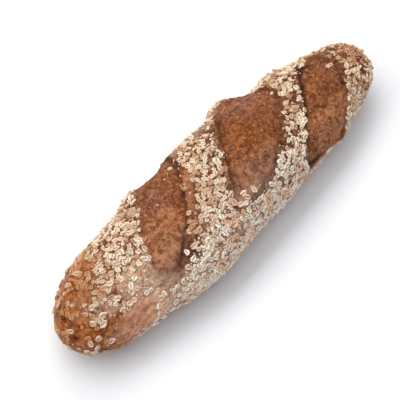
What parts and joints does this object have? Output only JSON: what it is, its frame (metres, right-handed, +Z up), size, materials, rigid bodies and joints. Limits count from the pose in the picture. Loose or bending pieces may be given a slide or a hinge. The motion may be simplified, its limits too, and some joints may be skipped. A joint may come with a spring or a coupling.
{
  "type": "seeded half baguette",
  "caption": "Short slashed wholegrain baguette with both tips baked round, an oat-flaked crust and a flat base to rest on.",
  "frame": {"origin": "centre of the loaf's footprint, on the plane of its flat base", "axes": "+X along the loaf towards the narrower tip, +Y across it towards the back, +Z up out of the slashed top"},
  "size_m": [0.2502, 0.0703, 0.0512],
  "materials": {
    "crust": "dry browned crust with oat flakes and a dusting of flour, matte to faintly satin"
  },
  "bodies": {
    "root": {"loaf": "crust"}
  },
  "joints": []
}
